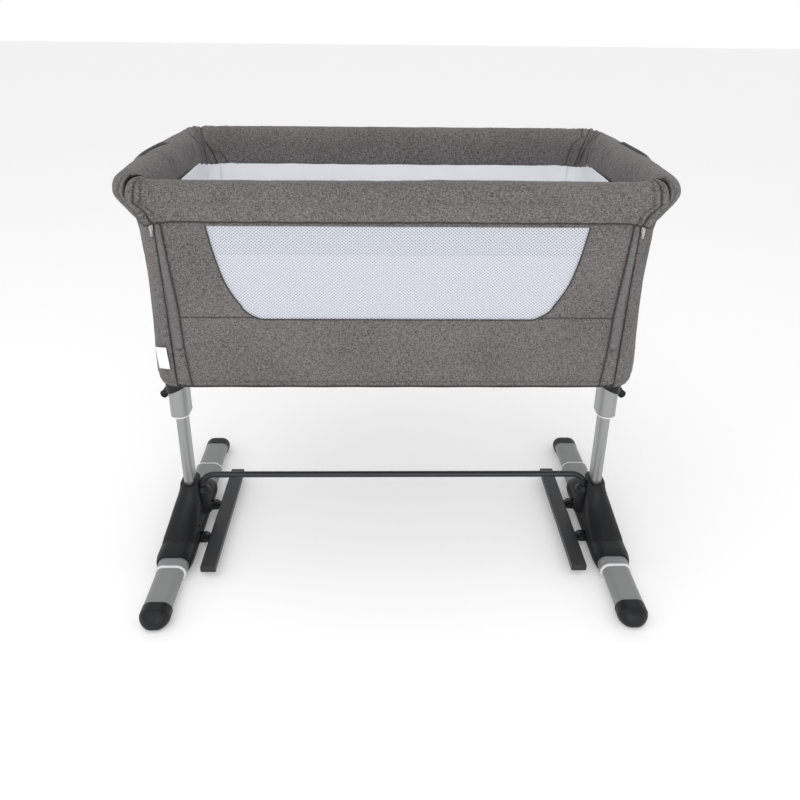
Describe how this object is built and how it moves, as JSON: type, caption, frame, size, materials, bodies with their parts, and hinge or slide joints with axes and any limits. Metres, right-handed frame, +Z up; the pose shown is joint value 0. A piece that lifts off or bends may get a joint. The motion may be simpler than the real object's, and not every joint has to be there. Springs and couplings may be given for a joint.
{
  "type": "bedside_crib",
  "caption": "Bedside sleeper crib with a drop side, padded rim and mesh window, on telescopic legs with extending feet",
  "frame": {"origin": "on the floor under the middle of the stand's overall box", "axes": "+X along the crib's length, -Y towards the drop side, +Z up"},
  "size_m": [1.008, 0.676, 0.858],
  "materials": {
    "foot_grey": "matt grey powder coat",
    "black_moulded": "satin moulded",
    "white_moulded": "moulded",
    "screw_black": "black oxide steel",
    "steel_bright": "zinc plated",
    "leg_aluminium": "satin anodised",
    "crossbar_paint": "charcoal powder coat",
    "bar_black": "black powder coat",
    "frame_paint": "black powder coat",
    "base_hardboard": "hardboard",
    "mattress_cloth": "quilted cotton",
    "heather_cloth": "heathered weave",
    "white_mesh": "three-layer spacer mesh",
    "lining_cloth": "smooth cotton",
    "tag_white": "woven label, blank",
    "zip_silver": "nickel plated"
  },
  "bodies": {
    "stand": {"foot_tube_left": "foot_grey", "foot_tube_right": "foot_grey", "foot_bushes": "white_moulded", "hub_outer_left": "black_moulded", "hub_outer_right": "black_moulded", "hub_inner_left": "black_moulded", "hub_inner_right": "black_moulded", "stand_screws": "screw_black", "leg_tube_left": "leg_aluminium", "leg_tube_right": "leg_aluminium", "leg_plugs": "black_moulded", "crossbar": "crossbar_paint", "bar_pins": "screw_black"},
    "foot_front_left": {"foot_slider_front_left": "foot_grey", "foot_cap_front_left": "black_moulded"},
    "foot_front_right": {"foot_slider_front_right": "foot_grey", "foot_cap_front_right": "black_moulded"},
    "foot_back_left": {"foot_slider_back_left": "foot_grey", "foot_cap_back_left": "black_moulded"},
    "foot_back_right": {"foot_slider_back_right": "foot_grey", "foot_cap_back_right": "black_moulded"},
    "bar_left": {"floor_bar_left": "bar_black", "bar_arms_left": "bar_black"},
    "bar_right": {"floor_bar_right": "bar_black", "bar_arms_right": "bar_black"},
    "carriage_left": {"leg_sleeve_left": "leg_aluminium", "sleeve_bush_left": "white_moulded", "leg_collar_left": "black_moulded", "sleeve_cap_left": "black_moulded"},
    "basket": {"base_frame": "frame_paint", "base_corners": "black_moulded", "base_board": "base_hardboard", "mattress": "mattress_cloth", "corner_posts": "frame_paint", "rim_tube": "frame_paint", "rim_pad_left": "heather_cloth", "rim_pad_right": "heather_cloth", "rim_pad_back": "heather_cloth", "fabric_left_end": "heather_cloth", "fabric_right_end": "heather_cloth", "fabric_back": "heather_cloth", "fabric_bottom": "heather_cloth", "lining": "lining_cloth", "tilt_brackets": "frame_paint", "tilt_pins": "steel_bright", "drop_hinges": "black_moulded", "side_tag": "tag_white"},
    "carriage_right": {"leg_sleeve_right": "leg_aluminium", "sleeve_bush_right": "white_moulded", "leg_collar_right": "black_moulded", "sleeve_cap_right": "black_moulded"},
    "knob_left": {"release_knob_left": "black_moulded"},
    "knob_right": {"release_knob_right": "black_moulded"},
    "drop_side": {"front_panel": "heather_cloth", "mesh_window": "white_mesh", "drop_arms": "frame_paint", "drop_rail_tube": "frame_paint", "drop_rail_pad": "heather_cloth"},
    "zip_left": {"zip_slider_left": "zip_silver"},
    "zip_right": {"zip_slider_right": "zip_silver"}
  },
  "joints": [
    {"name": "foot_slide_front_left", "type": "slide", "parent": "stand", "child": "foot_front_left", "axis": [0, 1, 0], "range_m": [0, 0.09]},
    {"name": "foot_slide_front_right", "type": "slide", "parent": "stand", "child": "foot_front_right", "axis": [0, 1, 0], "range_m": [0, 0.09]},
    {"name": "foot_slide_back_left", "type": "slide", "parent": "stand", "child": "foot_back_left", "axis": [0, -1, 0], "range_m": [0, 0.09]},
    {"name": "foot_slide_back_right", "type": "slide", "parent": "stand", "child": "foot_back_right", "axis": [0, -1, 0], "range_m": [0, 0.09]},
    {"name": "bar_fold_left", "type": "hinge", "parent": "stand", "child": "bar_left", "pos_m": [-0.417, 0, 0.022], "axis": [0, -1, 0], "range_deg": [0, 55]},
    {"name": "bar_fold_right", "type": "hinge", "parent": "stand", "child": "bar_right", "pos_m": [0.417, 0, 0.022], "axis": [0, 1, 0], "range_deg": [0, 55]},
    {"name": "height", "type": "slide", "parent": "stand", "child": "carriage_left", "axis": [0, 0, 1], "range_m": [-0.105, 0]},
    {"name": "tilt", "type": "hinge", "parent": "carriage_left", "child": "basket", "pos_m": [-0.417, 0, 0.474], "axis": [0, 1, 0], "range_deg": [0, 3.4]},
    {"name": "tilt_right", "type": "hinge", "parent": "basket", "child": "carriage_right", "pos_m": [0.417, 0, 0.474], "axis": [0, 1, 0], "range_deg": [-3.4, 0]},
    {"name": "knob_pull_left", "type": "slide", "parent": "carriage_left", "child": "knob_left", "axis": [-0.77, 0, -0.638], "range_m": [0, 0.006], "stiffness_N_per_m": 600},
    {"name": "knob_pull_right", "type": "slide", "parent": "carriage_right", "child": "knob_right", "axis": [0.77, 0, -0.638], "range_m": [0, 0.006], "stiffness_N_per_m": 600},
    {"name": "drop_side_fold", "type": "hinge", "parent": "basket", "child": "drop_side", "pos_m": [0, -0.2495, 0.491], "axis": [1, 0, 0], "range_deg": [0, 150]},
    {"name": "zip_run_left", "type": "slide", "parent": "basket", "child": "zip_left", "axis": [0, 0.0765, -0.9971], "range_m": [0, 0.255]},
    {"name": "zip_run_right", "type": "slide", "parent": "basket", "child": "zip_right", "axis": [0, 0.0765, -0.9971], "range_m": [0, 0.255]}
  ],
  "couplings": [
    {"joint": "tilt_right", "follows": "tilt", "ratio": -1}
  ]
}
